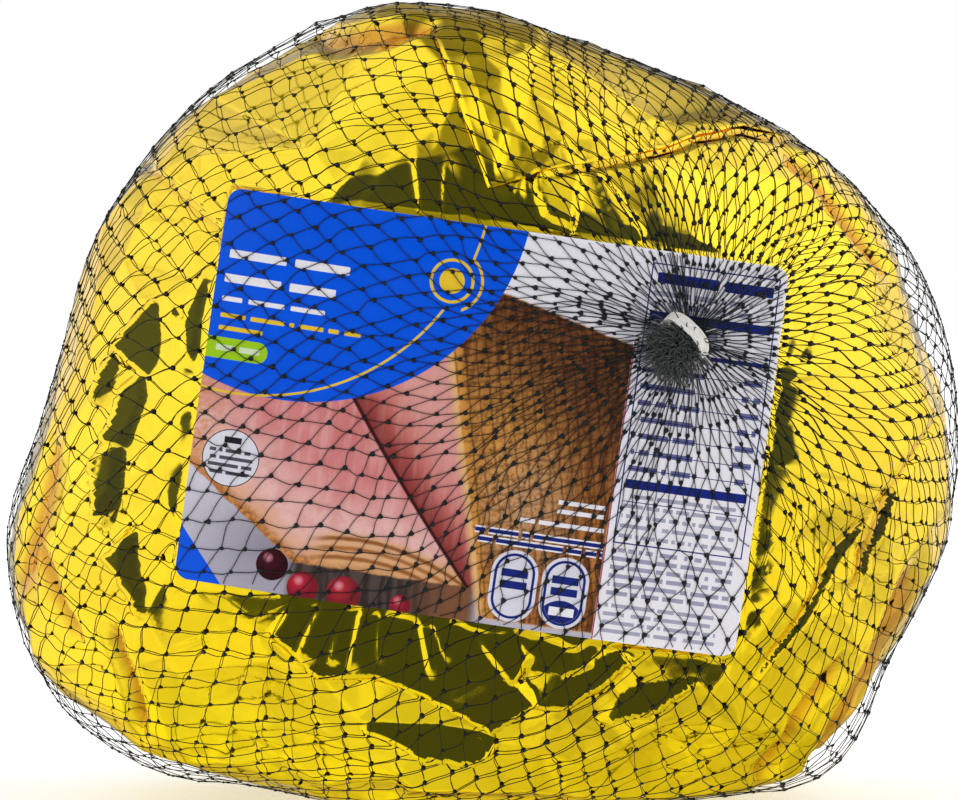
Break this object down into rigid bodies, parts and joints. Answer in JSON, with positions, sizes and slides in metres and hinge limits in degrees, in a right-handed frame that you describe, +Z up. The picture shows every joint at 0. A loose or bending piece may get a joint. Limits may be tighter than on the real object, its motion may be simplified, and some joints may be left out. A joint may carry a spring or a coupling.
{
  "type": "netted foil-wrapped ham",
  "caption": "Half ham wrapped in crumpled gold foil with a paper label on its front, held in a black knotted net that is clipped into a tuft at the front and the back. Stands on its cut face.",
  "frame": {"origin": "on the floor, under the middle of the pack's bounding box", "axes": "+X along the pack's longest side, to the right as the label is read; -Y out of the label; +Z up"},
  "size_m": [0.2535, 0.1679, 0.2125],
  "materials": {
    "gold_foil": "crumpled gold-tinted foil under a clear film",
    "label_paper": "printed semi-gloss paper",
    "net_cord": "fine black knotted plastic cord",
    "white_clip": "off-white moulded band"
  },
  "bodies": {
    "root": {"foil_pack": "gold_foil", "label": "label_paper", "net": "net_cord", "clip_front": "white_clip", "net_tuft_front": "net_cord", "clip_back": "white_clip", "net_tuft_back": "net_cord"}
  },
  "joints": []
}
